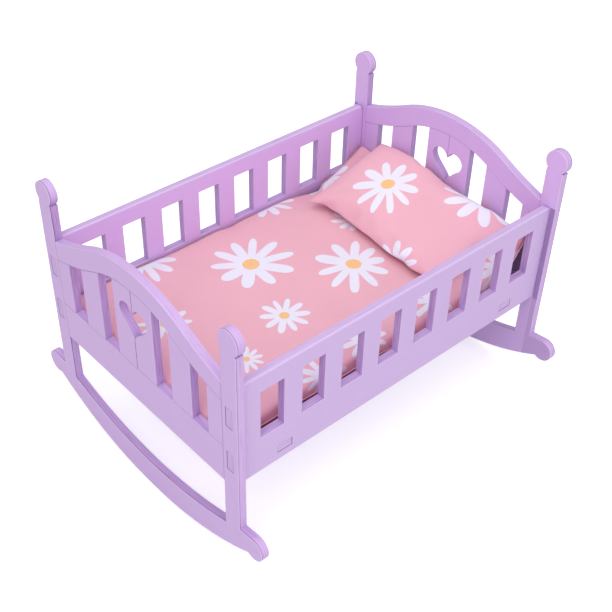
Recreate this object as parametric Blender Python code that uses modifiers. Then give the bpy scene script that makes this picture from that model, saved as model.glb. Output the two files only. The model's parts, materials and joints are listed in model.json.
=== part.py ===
"""Doll cradle on two rockers.

Each end is a frame cut in one board with its rocker, filled with an arched rail, a bottom
rail, stiles, slats and two planks that share a heart cut-out. Two windowed sides run through
the posts on tenons and carry the base board, where a mattress and a pillow lie.
X runs from the foot to the head, Y across and Z up, with the floor at zero.
"""

import math

import bmesh
import bpy

# The whole cradle
LENGTH = 0.480
WIDTH = 0.333
BOARD = 0.010
CLEARANCE = 0.0003
OVERRUN = 0.002
CURVE_STEP = 0.006
WELD = 0.00002

# End frame: two posts with round finials on a rocker with bulb ends
POST_WIDTH = 0.0226
POST_RISE = 0.1297
FINIAL_RADIUS = 0.0145
FINIAL_SEAT_SHARE = 0.786
SHOULDER_DROP = 0.0004
ROCKER_RADIUS = 0.376
ROCKER_DEPTH = 0.0372
ROCKER_POST_DEPTH = 0.0328
ROCKER_FACETS = 27
BULB_RADIUS = 0.0144
BULB_REACH = 0.021
BULB_RISE = 0.0078

# End panel between the posts
LEG_HEIGHT = 0.0657
BOTTOM_RAIL = 0.050
END_OPENING = 0.0546
ARCH_RAIL_END = 0.0149
ARCH_RISE = 0.0601
ARCH_RADIUS = 0.182
ARCH_SWEEP = 0.371
UNDER_RISE = 0.0514
UNDER_RADIUS = 0.145
UNDER_SWEEP = 0.303
STILE_WIDTH = 0.0231
SLAT_WIDTH = 0.0334
PLANK_WIDTH = 0.0336
SLAT_PLACE_SHARE = 0.509
HEART_WIDTH_SHARE = 0.72
HEART_HEIGHT_SHARE = 0.88
HEART_PLACE_SHARE = 0.588
HEART_POINTS = 40

# Hidden tongues that hold the end panels together
TONGUE = 0.004
TONGUE_REACH = 0.005
TONGUE_SHOULDER = 0.004
RAIL_REACH_SHARE = 0.7

# Windowed sides with tenons through the posts, a little thinner than their board
SIDE_PLACE_SHARE = 0.556
SIDE_RISE = 0.0022
SIDE_SILL = 0.0471
WINDOW_HEIGHT = 0.0627
SIDE_TOP = 0.0215
SIDE_END_GAP = 0.0008
WINDOW_COUNT = 8
WINDOW_WIDTH = 0.0303
WINDOW_MARGIN = 0.0243
TENON_HEIGHT = 0.0245
TENON_THICKNESS = 0.0092
TENON_PLACE_SHARES = (0.255, 0.715)

# Base board with tabs through the sides
BASE_RISE = 0.0107
TAB_WIDTH = 0.0185
TAB_PLACE_SHARE = 0.753

# Softened edges
NECK_ROUND = 0.0005
EDGE_ROUND = 0.0007
TOP_ROUND = 0.0020
CORNER_ROUND = 0.0035
ROUND_SEGMENTS = 2

# Mattress, its head end turned up against the headboard
MATTRESS_GAP = 0.0010
MATTRESS_EDGE = 0.0215
MATTRESS_CROWN = 0.0085
MATTRESS_DRAW = 0.0040
MATTRESS_ROUND = 0.0035
MATTRESS_CELLS = (16, 6, 2)
TURN_LENGTH = 0.060
TURN_RISE = 0.030
TURN_CORNER_RISE = 0.012
TURN_POWER = 1.4

# Pillow that leans on the turned-up end
PILLOW_DEPTH = 0.130
PILLOW_WIDTH = 0.225
PILLOW_THICKNESS = 0.040
PILLOW_GAP = 0.0020
PILLOW_OFFSET = 0.0025
PILLOW_LEAN = 0.027
PILLOW_DRAW = 0.0050
PILLOW_EDGE = 0.0030
PILLOW_SEAT = 0.0010
PILLOW_CELLS = (9, 11, 1)

# Colours
PAINT = (0.61, 0.46, 0.79, 1.0)
FABRIC = (0.81, 0.45, 0.55, 1.0)

# How near the rim of a unit cage counts as on it
RIM_SHARE = 0.999

# Places that several pieces share
FRAME_X = LENGTH / 2 - BOARD / 2
BED_X = LENGTH / 2 - BOARD
POST_OUT = WIDTH / 2
POST_IN = POST_OUT - POST_WIDTH
ROCKER_AT_POST = ROCKER_RADIUS - math.sqrt(ROCKER_RADIUS ** 2 - POST_IN ** 2) + ROCKER_POST_DEPTH
ROCKER_TOP_RISE = ROCKER_AT_POST - ROCKER_DEPTH
ROCKER_TOP_RADIUS = (POST_IN ** 2 + ROCKER_TOP_RISE ** 2) / (2 * ROCKER_TOP_RISE)
BED_HEIGHT = ROCKER_AT_POST + LEG_HEIGHT
RAIL_TOP = BED_HEIGHT + BOTTOM_RAIL
UNDER_END = RAIL_TOP + END_OPENING
UNDER_CROWN = UNDER_END + UNDER_RISE
ARCH_END = UNDER_END + ARCH_RAIL_END
ARCH_CROWN = ARCH_END + ARCH_RISE
SHOULDER = RAIL_TOP + POST_RISE
SIDE_SPARE = POST_WIDTH - BOARD
SIDE_OUT = POST_OUT - SIDE_SPARE * SIDE_PLACE_SHARE
SIDE_IN = SIDE_OUT - BOARD
SIDE_Y = SIDE_OUT - BOARD / 2
RAIL_REACH = (SIDE_IN - POST_IN) * RAIL_REACH_SHARE
SIDE_LOW = BED_HEIGHT + SIDE_RISE
SIDE_HEIGHT = SIDE_SILL + WINDOW_HEIGHT + SIDE_TOP
SIDE_END = BED_X - SIDE_END_GAP
BASE_LOW = SIDE_LOW + BASE_RISE
BASE_TOP = BASE_LOW + BOARD
BASE_MIDDLE = BASE_LOW + BOARD / 2
STILE_IN = POST_IN - STILE_WIDTH
SLAT_MIDDLE = PLANK_WIDTH + (STILE_IN - PLANK_WIDTH) * SLAT_PLACE_SHARE
SLAT_IN = SLAT_MIDDLE - SLAT_WIDTH / 2
SLAT_OUT = SLAT_MIDDLE + SLAT_WIDTH / 2
ACROSS = (math.pi / 2, 0, math.pi / 2)
ALONG = (math.pi / 2, 0, 0)
LEVEL = (0, 0, 0)


def clear_scene():
    """Start from an empty scene."""
    for obj in list(bpy.data.objects):
        bpy.data.objects.remove(obj, do_unlink=True)


def new_collection(name):
    """Add a collection to the scene."""
    collection = bpy.data.collections.new(name)
    bpy.context.scene.collection.children.link(collection)
    return collection


clear_scene()
PIECES = new_collection("doll_cradle")
CUTTERS = new_collection("cutters")


def surface(name, colour, roughness):
    """A material for one piece."""
    material = bpy.data.materials.new(name)
    material.use_nodes = True
    shader = material.node_tree.nodes["Principled BSDF"]
    shader.inputs["Base Color"].default_value = colour
    shader.inputs["Roughness"].default_value = roughness
    shader.inputs["Metallic"].default_value = 0
    return material


def arc(centre, radius, start, end, steps):
    """Points along an arc, both ends included."""
    points = []
    for step in range(steps + 1):
        angle = start + (end - start) * step / steps
        points.append((centre[0] + radius * math.cos(angle), centre[1] + radius * math.sin(angle)))
    return points


def mirrored(points):
    """The same points on the other side, in the order that closes an outline."""
    return [(-across, up) for across, up in reversed(points)]


def stations(first, last, level_from=math.inf):
    """Places along a curved edge from first to last, with none inside its level ends."""
    turns = [place for place in (-level_from, level_from) if min(first, last) < place < max(first, last)]
    marks = [first] + sorted(turns, reverse=first > last) + [last]
    places = [first]
    for start, end in zip(marks, marks[1:]):
        count = 1
        if abs(start + end) / 2 < level_from:
            count = max(1, round(abs(end - start) / CURVE_STEP))
        for step in range(count):
            places.append(start + (end - start) * (step + 1) / count)
    return places


def level_from(crown, end, radius, sweep):
    """How far out an arched edge becomes level."""
    both = radius + sweep
    return math.sqrt(both ** 2 - (both - crown + end) ** 2)


def ogee(across, crown, end, radius, sweep):
    """Height of an arched edge: a crown that sweeps out towards level ends."""
    level = level_from(crown, end, radius, sweep)
    turn_at = level * radius / (radius + sweep)
    across = abs(across)
    if across < turn_at:
        return crown - radius + math.sqrt(radius ** 2 - across ** 2)
    if across < level:
        return end + sweep - math.sqrt(sweep ** 2 - (level - across) ** 2)
    return end


def arch_top_at(across):
    """Height of the arched rail's upper edge."""
    return ogee(across, ARCH_CROWN, ARCH_END, ARCH_RADIUS, ARCH_SWEEP)


def arch_under_at(across):
    """Height of the arched rail's lower edge."""
    return ogee(across, UNDER_CROWN, UNDER_END, UNDER_RADIUS, UNDER_SWEEP)


def arch_top(first, last):
    """Points along the arched rail's upper edge."""
    level = level_from(ARCH_CROWN, ARCH_END, ARCH_RADIUS, ARCH_SWEEP)
    return [(place, arch_top_at(place)) for place in stations(first, last, level)]


def arch_under(first, last, lift=0):
    """Points along the arched rail's lower edge, or at a height above it."""
    level = level_from(UNDER_CROWN, UNDER_END, UNDER_RADIUS, UNDER_SWEEP)
    return [(place, arch_under_at(place) + lift) for place in stations(first, last, level)]


def soften(mesh, rounding, thickness):
    """Mark the edges of a board's two faces with how far each is rounded."""
    shape = bmesh.new()
    shape.from_mesh(mesh)
    for turn in (1, -1):
        flat = [face for face in shape.faces if face.normal.z * turn > 0.9]
        bmesh.ops.dissolve_faces(shape, faces=flat)
    weights = shape.edges.layers.float.new("bevel_weight_edge")
    for edge in shape.edges:
        first, last = (vert.co for vert in edge.verts)
        on_face = abs(first.z - last.z) < thickness / 2
        if on_face and len(edge.link_faces) == 2 and edge.calc_face_angle() > math.radians(60):
            middle = (first + last) / 2
            edge[weights] = rounding(middle.x, middle.y) / TOP_ROUND
    shape.to_mesh(mesh)
    shape.free()


def board(name, outline, location, rotation, thickness=BOARD, rounding=None):
    """A flat piece from its outline, centred on its thickness."""
    curve = bpy.data.curves.new(name, "CURVE")
    curve.dimensions = "2D"
    curve.fill_mode = "BOTH"
    curve.extrude = thickness / 2
    spline = curve.splines.new("POLY")
    spline.points.add(len(outline) - 1)
    for point, (across, up) in zip(spline.points, outline):
        point.co = (across, up, 0, 1)
    spline.use_cyclic_u = True
    drawn = bpy.data.objects.new(name + "_outline", curve)
    drawn.location = location
    drawn.rotation_euler = rotation
    PIECES.objects.link(drawn)
    bpy.context.view_layer.update()
    evaluated = drawn.evaluated_get(bpy.context.evaluated_depsgraph_get())
    mesh = bpy.data.meshes.new_from_object(evaluated)
    mesh.name = name
    shape = bmesh.new()
    shape.from_mesh(mesh)
    bmesh.ops.remove_doubles(shape, verts=shape.verts, dist=CLEARANCE / 100)
    shape.to_mesh(mesh)
    shape.free()
    if rounding:
        soften(mesh, rounding, thickness)
    piece = bpy.data.objects.new(name, mesh)
    piece.matrix_world = drawn.matrix_world.copy()
    PIECES.objects.link(piece)
    bpy.data.objects.remove(drawn, do_unlink=True)
    if rounding:
        bevel = piece.modifiers.new("rounded edges", "BEVEL")
        bevel.limit_method = "WEIGHT"
        bevel.width = TOP_ROUND
        bevel.segments = ROUND_SEGMENTS
        bevel.use_clamp_overlap = False
    return piece


def finish(piece, colour, roughness):
    """Weld a piece's cut corners, and give it its own material and smooth rounded edges."""
    weld = piece.modifiers.new("welded corners", "WELD")
    weld.merge_threshold = WELD
    piece.data.materials.clear()
    piece.data.materials.append(surface(piece.name, colour, roughness))
    piece.data.shade_smooth()
    piece.data.set_sharp_from_angle(angle=math.radians(40))


def set_aside(tool):
    """Keep a cutter or an added block out of the model's own pieces."""
    for collection in list(tool.users_collection):
        collection.objects.unlink(tool)
    CUTTERS.objects.link(tool)
    tool.hide_render = True
    tool.display_type = "WIRE"
    return tool


def block(name, low, high):
    """A box between two corners, for cutting or joining."""
    mesh = bpy.data.meshes.new(name)
    shape = bmesh.new()
    bmesh.ops.create_cube(shape, size=1)
    for vert in shape.verts:
        vert.co = [(first + last) / 2 + part * (last - first) for part, first, last in zip(vert.co, low, high)]
    shape.to_mesh(mesh)
    shape.free()
    tool = bpy.data.objects.new(name, mesh)
    PIECES.objects.link(tool)
    return set_aside(tool)


def combine(piece, tool, operation):
    """Cut a tool from a piece, or join it on."""
    modifier = piece.modifiers.new(tool.name, "BOOLEAN")
    modifier.operation = operation
    modifier.solver = "EXACT"
    modifier.object = tool


def bulb_end():
    """One rocker end from its notch round the bulb to the post's outer face."""
    across = POST_OUT + BULB_REACH
    up = ROCKER_RADIUS - math.sqrt(ROCKER_RADIUS ** 2 - across ** 2) + BULB_RISE
    away = math.hypot(across, up - ROCKER_RADIUS)
    facing = math.atan2(up - ROCKER_RADIUS, across)
    opening = math.acos((ROCKER_RADIUS ** 2 + away ** 2 - BULB_RADIUS ** 2) / (2 * ROCKER_RADIUS * away))
    notch_angle = facing - opening
    notch = (ROCKER_RADIUS * math.cos(notch_angle), ROCKER_RADIUS * (1 + math.sin(notch_angle)))
    start = math.atan2(notch[1] - up, notch[0] - across)
    post_foot = rocker_top(POST_OUT)
    reach = math.hypot(POST_OUT - across, post_foot - up)
    end = math.atan2(post_foot - up, POST_OUT - across) - math.acos(BULB_RADIUS / reach)
    return arc((across, up), BULB_RADIUS, start, end, 18) + [(POST_OUT, post_foot)], notch_angle


def rocker_top(across):
    """Height of the rocker's upper edge."""
    return ROCKER_DEPTH + ROCKER_TOP_RADIUS - math.sqrt(ROCKER_TOP_RADIUS ** 2 - across ** 2)


def end_frame_outline():
    """The rolling edge, then up the far post, over its finial and down to the rocker's top."""
    bulb, notch_angle = bulb_end()
    rolling = arc((0, ROCKER_RADIUS), ROCKER_RADIUS, -math.pi - notch_angle, notch_angle, ROCKER_FACETS)
    floor = rolling[ROCKER_FACETS // 2][1]
    rolling = [(across, up - floor) for across, up in rolling[1:-1]]
    seat = math.asin(FINIAL_SEAT_SHARE)
    finial_centre = ((POST_OUT + POST_IN) / 2, SHOULDER + FINIAL_RADIUS * FINIAL_SEAT_SHARE)
    finial = arc(finial_centre, FINIAL_RADIUS, -seat, math.pi + seat, 24)
    post = [(POST_OUT, SHOULDER - SHOULDER_DROP)] + finial + [(POST_IN, SHOULDER - SHOULDER_DROP)]
    upper = [(across, rocker_top(across)) for across in stations(POST_IN, 0)]
    far_side = bulb + post + upper
    return rolling + far_side + mirrored(far_side[:-1])


def end_frame_rounding(across, up):
    """Round every edge but those that meet the panel, and the finials and their necks less."""
    if up > SHOULDER - SHOULDER_DROP * 2:
        return NECK_ROUND
    return 0 if abs(abs(across) - POST_IN) < CLEARANCE else EDGE_ROUND


def bottom_rail_rounding(across, up):
    """Round the underside."""
    return EDGE_ROUND if abs(up - BED_HEIGHT) < CLEARANCE else 0


def arch_rail_rounding(across, up):
    """Round the upper edge."""
    middle = (arch_top_at(across) + arch_under_at(across)) / 2
    return EDGE_ROUND if up > middle and abs(across) < POST_IN - CLEARANCE * 2 else 0


def rail_tongue(end, rail, frame, low, high, x):
    """A tongue at each end of a rail and its socket in each post."""
    for side, sign in (("far", 1), ("near", -1)):
        for name, spare, target, operation in (("tongue", 0, rail, "UNION"), ("socket", CLEARANCE, frame, "DIFFERENCE")):
            ends = sorted((sign * (POST_IN - OVERRUN), sign * (POST_IN + RAIL_REACH + spare)))
            half = TONGUE / 2 + spare
            tool = block(
                "_".join((rail.name, side, name)),
                (x - half, ends[0], low + TONGUE_SHOULDER - spare),
                (x + half, ends[1], high - TONGUE_SHOULDER + spare),
            )
            combine(target, tool, operation)


def upright(name, first, last, x, rails, free_edges):
    """A board between the two rails, with a tongue at each end that follows the arch."""
    outline = [(first, RAIL_TOP + CLEARANCE), (last, RAIL_TOP + CLEARANCE)]
    outline += arch_under(last, first, -CLEARANCE)

    def rounding(across, up):
        return EDGE_ROUND if any(abs(across - edge) < CLEARANCE / 2 for edge in free_edges) else 0

    piece = board(name, outline, (x, 0, 0), ACROSS, rounding=rounding)
    for part, spare in (("tongue", 0), ("socket", CLEARANCE)):
        left = first + TONGUE_SHOULDER - spare
        right = last - TONGUE_SHOULDER + spare
        reach = TONGUE_REACH - CLEARANCE + spare
        outline = [(left, RAIL_TOP - reach), (right, RAIL_TOP - reach)]
        outline += arch_under(right, left, reach)
        tool = set_aside(board(name + "_" + part, outline, (x, 0, 0), ACROSS, TONGUE + spare * 2))
        if part == "tongue":
            combine(piece, tool, "UNION")
        else:
            for rail in rails:
                combine(rail, tool, "DIFFERENCE")
    return piece


def heart_cutter(name, x):
    """A heart through both planks, its cleft and its point on their seam."""
    width = PLANK_WIDTH * 2 * HEART_WIDTH_SHARE
    height = width * HEART_HEIGHT_SHARE
    middle = RAIL_TOP + (UNDER_CROWN - RAIL_TOP) * HEART_PLACE_SHARE
    curve = []
    for step in range(HEART_POINTS):
        turn = math.tau * (step + 0.5) / HEART_POINTS
        lobe = 13 * math.cos(turn) - 5 * math.cos(2 * turn) - 2 * math.cos(3 * turn) - math.cos(4 * turn)
        curve.append((math.sin(turn) ** 3, lobe))
    low = min(lobe for _, lobe in curve)
    high = max(lobe for _, lobe in curve)
    outline = []
    for across, lobe in curve:
        share = (lobe - low) / (high - low) - 1 / 2
        outline.append((across * width / 2, middle + share * height))
    return set_aside(board(name, outline, (x, 0, 0), ACROSS, BOARD + OVERRUN * 2))


def make_end(end, sign):
    """One end: its frame, two rails and six uprights."""
    x = sign * FRAME_X
    frame = board(end + "_end_frame", end_frame_outline(), (x, 0, 0), ACROSS, rounding=end_frame_rounding)
    reach = POST_IN - CLEARANCE
    outline = [(-reach, BED_HEIGHT), (reach, BED_HEIGHT), (reach, RAIL_TOP), (-reach, RAIL_TOP)]
    bottom = board(end + "_bottom_rail", outline, (x, 0, 0), ACROSS, rounding=bottom_rail_rounding)
    outline = arch_under(-reach, reach) + arch_top(reach, -reach)
    arch = board(end + "_arch_rail", outline, (x, 0, 0), ACROSS, rounding=arch_rail_rounding)
    rail_tongue(end, bottom, frame, BED_HEIGHT, RAIL_TOP, x)
    rail_tongue(end, arch, frame, arch_under_at(POST_IN), arch_top_at(POST_IN), x)
    pieces = [frame, bottom, arch]
    heart = heart_cutter(end + "_heart", x)
    spans = (
        ("stile", STILE_IN, reach, (STILE_IN,)),
        ("slat", SLAT_IN, SLAT_OUT, (SLAT_IN, SLAT_OUT)),
        ("plank", CLEARANCE / 2, PLANK_WIDTH, (PLANK_WIDTH,)),
    )
    for kind, inner, outer, free in spans:
        for side, turn in (("far", 1), ("near", -1)):
            first, last = sorted((turn * inner, turn * outer))
            edges = [turn * edge for edge in free]
            name = "_".join((end, side, kind))
            piece = upright(name, first, last, x, (bottom, arch), edges)
            if kind == "plank":
                combine(piece, heart, "DIFFERENCE")
            pieces.append(piece)
    cut_side_slots(end, sign, frame)
    for piece in pieces:
        finish(piece, PAINT, 0.5)


def tenon_spans():
    """Lower and upper edge of each tenon of a side."""
    middles = [SIDE_LOW + SIDE_HEIGHT * share for share in TENON_PLACE_SHARES]
    return [(middle - TENON_HEIGHT / 2, middle + TENON_HEIGHT / 2) for middle in middles]


def cut_side_slots(end, sign, frame):
    """The slots through both posts that take the sides' tenons."""
    ends = sorted((sign * (BED_X - OVERRUN), sign * (LENGTH / 2 + OVERRUN)))
    half = TENON_THICKNESS / 2 + CLEARANCE
    for side, turn in (("far", 1), ("near", -1)):
        for number, (low, high) in enumerate(tenon_spans()):
            slot = block(
                f"{end}_{side}_slot_{number}",
                (ends[0], turn * SIDE_Y - half, low - CLEARANCE),
                (ends[1], turn * SIDE_Y + half, high + CLEARANCE),
            )
            combine(frame, slot, "DIFFERENCE")


def window_cutter(name, left, right, y):
    """A cutter for one window, flared at both faces so that the window's edges come out rounded."""
    low = SIDE_LOW + SIDE_SILL
    mesh = bpy.data.meshes.new(name)
    shape = bmesh.new()
    bmesh.ops.create_cube(shape, size=2)
    half_width = (right - left) / 2
    half_height = WINDOW_HEIGHT / 2
    straight = BOARD / 2 - EDGE_ROUND
    for vert in shape.verts:
        vert.co = (vert.co.x * half_width, vert.co.y * straight, vert.co.z * half_height)
    for turn in (1, -1):
        face = next(face for face in shape.faces if face.normal.y * turn > 0.9)
        flared = 0
        sunk = EDGE_ROUND
        for step in range(ROUND_SEGMENTS):
            angle = math.pi / 2 * (step + 1) / ROUND_SEGMENTS
            wider = EDGE_ROUND * (1 - math.cos(angle))
            higher = EDGE_ROUND * (1 - math.sin(angle))
            face = flare(shape, face, turn, wider - flared, sunk - higher)
            flared, sunk = wider, higher
        face = flare(shape, face, turn, 0, OVERRUN)
    for vert in shape.verts:
        vert.co.x += (left + right) / 2
        vert.co.y += y
        vert.co.z += low + half_height
    shape.to_mesh(mesh)
    shape.free()
    tool = bpy.data.objects.new(name, mesh)
    PIECES.objects.link(tool)
    return set_aside(tool)


def flare(shape, face, turn, wider, out):
    """Extrude a cutter's end face outward, and widen it on all four sides."""
    made = bmesh.ops.extrude_discrete_faces(shape, faces=[face])["faces"][0]
    for vert in made.verts:
        vert.co.x += math.copysign(wider, vert.co.x)
        vert.co.z += math.copysign(wider, vert.co.z)
        vert.co.y += turn * out
    return made


def side_rounding(along, up):
    """Round the top and its corners more than the lower edge, and leave the ends square."""
    if up > SIDE_LOW + SIDE_HEIGHT - CORNER_ROUND:
        return TOP_ROUND
    return EDGE_ROUND if up < SIDE_LOW + CLEARANCE else 0


def make_side(side, sign):
    """One windowed side with two tenons at each end and two slots for the base board."""
    top = SIDE_LOW + SIDE_HEIGHT
    corner = (SIDE_END - CORNER_ROUND, top - CORNER_ROUND)
    half = [(SIDE_END, SIDE_LOW)] + arc(corner, CORNER_ROUND, 0, math.pi / 2, 4)
    y = sign * SIDE_Y
    piece = board(side + "_side_panel", half + mirrored(half), (0, y, 0), ALONG, rounding=side_rounding)
    for number, (low, high) in enumerate(tenon_spans()):
        for end, turn in (("foot", -1), ("head", 1)):
            ends = sorted((turn * (SIDE_END - OVERRUN), turn * LENGTH / 2))
            tenon = block(
                f"{side}_{end}_tenon_{number}",
                (ends[0], y - TENON_THICKNESS / 2, low),
                (ends[1], y + TENON_THICKNESS / 2, high),
            )
            combine(piece, tenon, "UNION")
    spacing = (SIDE_END * 2 - WINDOW_MARGIN * 2 - WINDOW_WIDTH) / (WINDOW_COUNT - 1)
    for number in range(WINDOW_COUNT):
        left = -SIDE_END + WINDOW_MARGIN + spacing * number
        window = window_cutter(f"{side}_window_{number}", left, left + WINDOW_WIDTH, y)
        combine(piece, window, "DIFFERENCE")
    half_tab = TAB_WIDTH / 2 + CLEARANCE
    for number, place in enumerate(tab_places()):
        slot = block(
            f"{side}_tab_slot_{number}",
            (place - half_tab, y - BOARD / 2 - OVERRUN, BASE_MIDDLE - TENON_THICKNESS / 2 - CLEARANCE),
            (place + half_tab, y + BOARD / 2 + OVERRUN, BASE_MIDDLE + TENON_THICKNESS / 2 + CLEARANCE),
        )
        combine(piece, slot, "DIFFERENCE")
    finish(piece, PAINT, 0.5)


def tab_places():
    """The middles of the base board's tabs along the cradle."""
    return (-BED_X * TAB_PLACE_SHARE, BED_X * TAB_PLACE_SHARE)


def make_base():
    """The base board, its tabs flush with the sides' outer faces."""
    end = BED_X - CLEARANCE
    edge = SIDE_IN - CLEARANCE
    outline = [(-end, -edge), (end, -edge), (end, edge), (-end, edge)]
    piece = board("base_board", outline, (0, 0, BASE_MIDDLE), LEVEL)
    for number, place in enumerate(tab_places()):
        for side, turn in (("far", 1), ("near", -1)):
            faces = sorted((turn * (edge - OVERRUN), turn * SIDE_OUT))
            tab = block(
                f"{side}_tab_{number}",
                (place - TAB_WIDTH / 2, faces[0], BASE_MIDDLE - TENON_THICKNESS / 2),
                (place + TAB_WIDTH / 2, faces[1], BASE_MIDDLE + TENON_THICKNESS / 2),
            )
            combine(piece, tab, "UNION")
    finish(piece, PAINT, 0.5)


def cage(name, cells, shape_point, location):
    """A unit cube divided into cells, with each point put in place by a function."""
    mesh = bpy.data.meshes.new(name)
    shape = bmesh.new()
    bmesh.ops.create_cube(shape, size=2)
    for axis, count in enumerate(cells):
        if count > 1:
            runs = [
                edge for edge in shape.edges
                if abs(edge.verts[0].co[axis] - edge.verts[1].co[axis]) > 1
            ]
            bmesh.ops.subdivide_edges(shape, edges=runs, cuts=count - 1, use_grid_fill=True)
    for vert in shape.verts:
        vert.co = shape_point(*vert.co)
    bmesh.ops.recalc_face_normals(shape, faces=shape.faces)
    shape.to_mesh(mesh)
    shape.free()
    piece = bpy.data.objects.new(name, mesh)
    piece.location = location
    PIECES.objects.link(piece)
    smooth = piece.modifiers.new("soft", "SUBSURF")
    smooth.levels = 1
    smooth.render_levels = 1
    return piece


def turned_up(x, y_share):
    """How far the mattress's head end is lifted off the base board."""
    end = BED_X - MATTRESS_GAP
    share = max(0, (x - end + TURN_LENGTH) / TURN_LENGTH)
    return (TURN_RISE + TURN_CORNER_RISE * y_share ** 4) * share ** TURN_POWER


def mattress_top(x, y):
    """Height of the mattress's upper face over the base board."""
    u = x / (BED_X - MATTRESS_GAP)
    v = y / (SIDE_IN - MATTRESS_GAP)
    crown = MATTRESS_CROWN * (1 - u ** 4) * (1 - v ** 4)
    return MATTRESS_EDGE + crown + turned_up(x, v)


def mattress_point(u, v, w):
    """Place one point of the mattress's cage."""
    drawn_x = MATTRESS_DRAW * (1 - v ** 2) * abs(u) ** 8
    drawn_y = MATTRESS_DRAW * (1 - u ** 2) * abs(v) ** 8
    x = u * (BED_X - MATTRESS_GAP - drawn_x)
    y = v * (SIDE_IN - MATTRESS_GAP - drawn_y)
    on_rim = abs(u) > RIM_SHARE or abs(v) > RIM_SHARE
    tuck = MATTRESS_ROUND * abs(w) if on_rim else 0
    if abs(u) > RIM_SHARE:
        x -= math.copysign(tuck, u)
    if abs(v) > RIM_SHARE:
        y -= math.copysign(tuck, v)
    low = turned_up(x, v)
    high = mattress_top(x, y)
    if w > 0.5:
        return (x, y, high - (MATTRESS_ROUND if on_rim else 0))
    if w < -0.5:
        return (x, y, low)
    return (x, y, (low + high) / 2)


def make_mattress():
    """The mattress on the base board."""
    location = (0, 0, BASE_TOP + CLEARANCE)
    piece = cage("mattress", MATTRESS_CELLS, mattress_point, location)
    finish(piece, FABRIC, 0.9)


def pillow_point(u, v, w):
    """Place one point of the pillow's cage, relative to the middle of its front edge."""
    drawn_x = PILLOW_DRAW * (1 - v ** 2) * abs(u) ** 3
    drawn_y = PILLOW_DRAW * (1 - u ** 2) * abs(v) ** 3
    x = PILLOW_DEPTH / 2 * (1 + u) - math.copysign(drawn_x, u)
    y = v * (PILLOW_WIDTH / 2 - drawn_y)
    swell = ((1 - abs(u) ** 2.4) * (1 - abs(v) ** 2.8)) ** 0.55
    middle = PILLOW_LEAN * (1 + u) / 2
    half = PILLOW_EDGE / 2 + (PILLOW_THICKNESS - PILLOW_EDGE) / 2 * swell
    return (x, y, middle + w * half)


def make_pillow():
    """The pillow at the head, its back edge against the headboard."""
    front = BED_X - PILLOW_GAP - PILLOW_DEPTH
    seat = BASE_TOP + CLEARANCE + PILLOW_SEAT
    floor = seat + mattress_top(front, 0) + PILLOW_EDGE
    location = (front, -PILLOW_OFFSET, floor)

    def seated_point(u, v, w):
        x, y, z = pillow_point(u, v, w)
        support = seat + mattress_top(front + x, y - PILLOW_OFFSET) - floor
        return (x, y, max(z, support if w < 0 else support + PILLOW_EDGE))

    piece = cage("pillow", PILLOW_CELLS, seated_point, location)
    finish(piece, FABRIC, 0.9)


make_end("foot", -1)
make_end("head", 1)
make_side("far", 1)
make_side("near", -1)
make_base()
make_mattress()
make_pillow()
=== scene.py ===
"""Doll cradle: painted boards, a daisy-print mattress and a pillow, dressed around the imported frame."""

import json
import math

import bmesh
import bpy
from mathutils import Matrix, Vector, noise
from mathutils.bvhtree import BVHTree
from mathutils.geometry import intersect_point_line


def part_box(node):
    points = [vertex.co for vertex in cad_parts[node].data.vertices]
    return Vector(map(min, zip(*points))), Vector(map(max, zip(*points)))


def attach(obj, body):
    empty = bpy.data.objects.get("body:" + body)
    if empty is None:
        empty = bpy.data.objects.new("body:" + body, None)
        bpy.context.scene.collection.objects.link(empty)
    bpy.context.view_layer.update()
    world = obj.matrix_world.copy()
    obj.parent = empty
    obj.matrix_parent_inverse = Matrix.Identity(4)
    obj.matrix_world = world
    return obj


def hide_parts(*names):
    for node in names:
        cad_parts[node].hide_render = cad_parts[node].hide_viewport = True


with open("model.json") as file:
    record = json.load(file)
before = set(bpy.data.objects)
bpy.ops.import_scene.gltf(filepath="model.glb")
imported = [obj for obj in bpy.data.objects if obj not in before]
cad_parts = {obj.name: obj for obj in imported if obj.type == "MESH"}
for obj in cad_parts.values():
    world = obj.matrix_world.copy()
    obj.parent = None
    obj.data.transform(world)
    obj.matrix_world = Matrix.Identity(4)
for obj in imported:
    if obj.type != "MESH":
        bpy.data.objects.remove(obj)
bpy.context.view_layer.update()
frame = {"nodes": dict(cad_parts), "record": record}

# The boards' edges: how much they are eased, how near another board has to be to meet one, the
# pieces that a joint's edges are cut into, and the share of the room beside an edge that it may take.
# Points closer than the weld are one, faces under the flat angle are one, and edges over the sharp
# angle are eased. A face whose normal lies this close to a board's thickness is the board's flat.
EDGE_BEVEL = 0.0005
JOINT_REACH = 0.0007
EDGE_STEP = 0.0030
ROOM_SHARE = 0.25
WELD = 0.00001
FLAT_ANGLE = math.radians(0.4)
SHARP_ANGLE = math.radians(50)
SMOOTH_ANGLE = math.radians(38)
FLAT_LEAN = 0.97

# The shade on a cut face is full with a board this near across the opening, and ends this far off
REVEAL_NEAR = 0.045
REVEAL_FAR = 0.110

# How much a joint's line shows: on most joints, between planks, on the shaded and the lit sides
# of a tenon or a tab, and where the paint inside the bed fills it
PLAIN_JOINT = 0.5
PLANK_JOINT = 0.9
SHADED_JOINT = 1.0
LIT_JOINT = 0.25
FILLED_JOINT = 0.15

# The mattress: its cloth's distance from the boards, its cells and their fewest number, its depth,
# how hard, how long and how far it is filled, how round its rim is, and the radius of its piping.
# Its unit places run from -1 to 1, and a point past the rim's is on an outer face.
CLOTH_GAP = 0.0011
PAD_CELL = 0.0058
PAD_FEWEST = 4
PAD_DEPTH = 0.024
PAD_PRESSURE = 0.35
PAD_FRAMES = 16
PAD_CAP = 0.0022
PAD_ROUND = 0.0026
PAD_RIM = 0.9999
PIPING = 0.0006

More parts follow.
